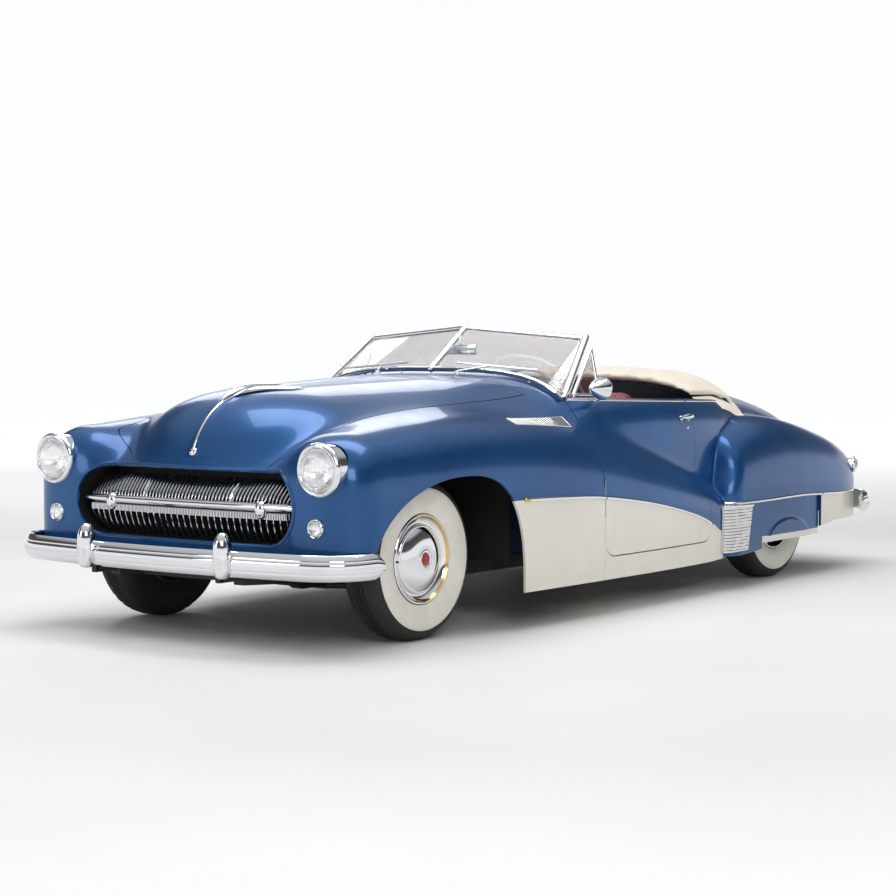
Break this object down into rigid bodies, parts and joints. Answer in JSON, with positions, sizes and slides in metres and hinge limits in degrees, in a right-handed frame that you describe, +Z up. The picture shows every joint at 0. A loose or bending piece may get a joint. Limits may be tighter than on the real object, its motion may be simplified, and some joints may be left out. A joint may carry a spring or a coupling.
{
  "type": "vintage convertible car",
  "caption": "Full-size streamlined two-tone convertible with pontoon fenders; doors, hood and trunk lid open, wheels roll and the front pair steers.",
  "frame": {"origin": "on the ground at the middle of the car's length and width", "axes": "+X forward, +Y to the car's left, +Z up"},
  "size_m": [5.32, 2.0546, 1.4196],
  "materials": {
    "chassis": "satin black",
    "body_blue": "gloss metallic",
    "body_cream": "gloss",
    "leather_red": "satin",
    "chrome": "mirror",
    "glass": "clear",
    "lamp_clear": "clear lens",
    "lamp_red": "clear lens",
    "boot_fabric": "matt canvas",
    "ivory": "gloss",
    "column_paint": "satin",
    "tyre": "matt with white wall",
    "engine_iron": "painted",
    "exhaust_steel": "aged",
    "wiper_steel": "satin"
  },
  "bodies": {
    "body": {"frame_rails": "chassis", "cross_members": "chassis", "floor_pan": "chassis", "sills": "body_cream", "nose": "body_blue", "front_fender_left": "body_blue", "front_fender_right": "body_blue", "cowl": "body_blue", "dashboard": "leather_red", "rear_quarter_left": "body_blue", "rear_quarter_right": "body_blue", "fender_skirts": "body_blue", "rear_deck": "body_blue", "tail_panel": "body_blue", "windshield_frame": "chrome", "windshield_glass": "glass", "top_boot": "boot_fabric", "front_seat": "leather_red", "rear_seat": "leather_red", "side_trims": "leather_red", "steering_column": "column_paint", "front_suspension": "chassis", "rear_axle": "chassis", "engine": "engine_iron", "exhaust": "exhaust_steel", "fuel_tank": "chassis", "front_bumper": "chrome", "rear_bumper": "chrome", "grille": "chrome", "headlamps": "chrome", "parking_lamps": "lamp_clear", "tail_lamps": "lamp_red", "wipers": "wiper_steel", "hinge_pins": "chassis"},
    "hood": {"hood": "body_blue"},
    "trunk_lid": {"trunk_lid": "body_blue"},
    "door_left": {"door_left": "body_blue", "vent_window_left": "chrome", "mirror_left": "chrome"},
    "door_right": {"door_right": "body_blue", "vent_window_right": "chrome"},
    "steering_wheel": {"steering_wheel": "ivory"},
    "knuckle_left": {"knuckle_left": "chassis"},
    "knuckle_right": {"knuckle_right": "chassis"},
    "wheel_front_left": {"wheel_front_left": "chrome", "tyre_front_left": "tyre"},
    "wheel_front_right": {"wheel_front_right": "chrome", "tyre_front_right": "tyre"},
    "wheel_rear_left": {"wheel_rear_left": "chrome", "tyre_rear_left": "tyre"},
    "wheel_rear_right": {"wheel_rear_right": "chrome", "tyre_rear_right": "tyre"}
  },
  "joints": [
    {"name": "hood_hinge", "type": "hinge", "parent": "body", "child": "hood", "pos_m": [0.77, 0, 1.16551], "axis": [0, -1, 0], "range_deg": [0, 45]},
    {"name": "trunk_hinge", "type": "hinge", "parent": "body", "child": "trunk_lid", "pos_m": [-1.47, 0, 1.0765], "axis": [0, 1, 0], "range_deg": [0, 60]},
    {"name": "door_left_hinge", "type": "hinge", "parent": "body", "child": "door_left", "pos_m": [0.55, 1.02039, 0.57], "axis": [0, 0, -1], "range_deg": [0, 65]},
    {"name": "door_right_hinge", "type": "hinge", "parent": "body", "child": "door_right", "pos_m": [0.55, -1.02039, 0.57], "axis": [0, 0, 1], "range_deg": [0, 65]},
    {"name": "steering_wheel_turn", "type": "hinge", "parent": "body", "child": "steering_wheel", "pos_m": [0.215, 0.38, 1.012], "axis": [-0.8829, 0, 0.4695], "range_deg": [-480, 480]},
    {"name": "steer_left", "type": "hinge", "parent": "body", "child": "knuckle_left", "pos_m": [1.78, 0.65, 0.365], "axis": [0, 0, 1], "range_deg": [-30, 30]},
    {"name": "steer_right", "type": "hinge", "parent": "body", "child": "knuckle_right", "pos_m": [1.78, -0.65, 0.365], "axis": [0, 0, 1], "range_deg": [-30, 30]},
    {"name": "wheel_front_left_spin", "type": "hinge", "parent": "knuckle_left", "child": "wheel_front_left", "pos_m": [1.78, 0.76, 0.365], "axis": [0, 1, 0], "continuous": true},
    {"name": "wheel_front_right_spin", "type": "hinge", "parent": "knuckle_right", "child": "wheel_front_right", "pos_m": [1.78, -0.76, 0.365], "axis": [0, 1, 0], "continuous": true},
    {"name": "wheel_rear_left_spin", "type": "hinge", "parent": "body", "child": "wheel_rear_left", "pos_m": [-1.5, 0.75, 0.365], "axis": [0, 1, 0], "continuous": true},
    {"name": "wheel_rear_right_spin", "type": "hinge", "parent": "body", "child": "wheel_rear_right", "pos_m": [-1.5, -0.75, 0.365], "axis": [0, 1, 0], "continuous": true}
  ],
  "couplings": [
    {"joint": "steer_left", "follows": "steering_wheel_turn", "ratio": 0.0625},
    {"joint": "steer_right", "follows": "steering_wheel_turn", "ratio": 0.0625}
  ]
}
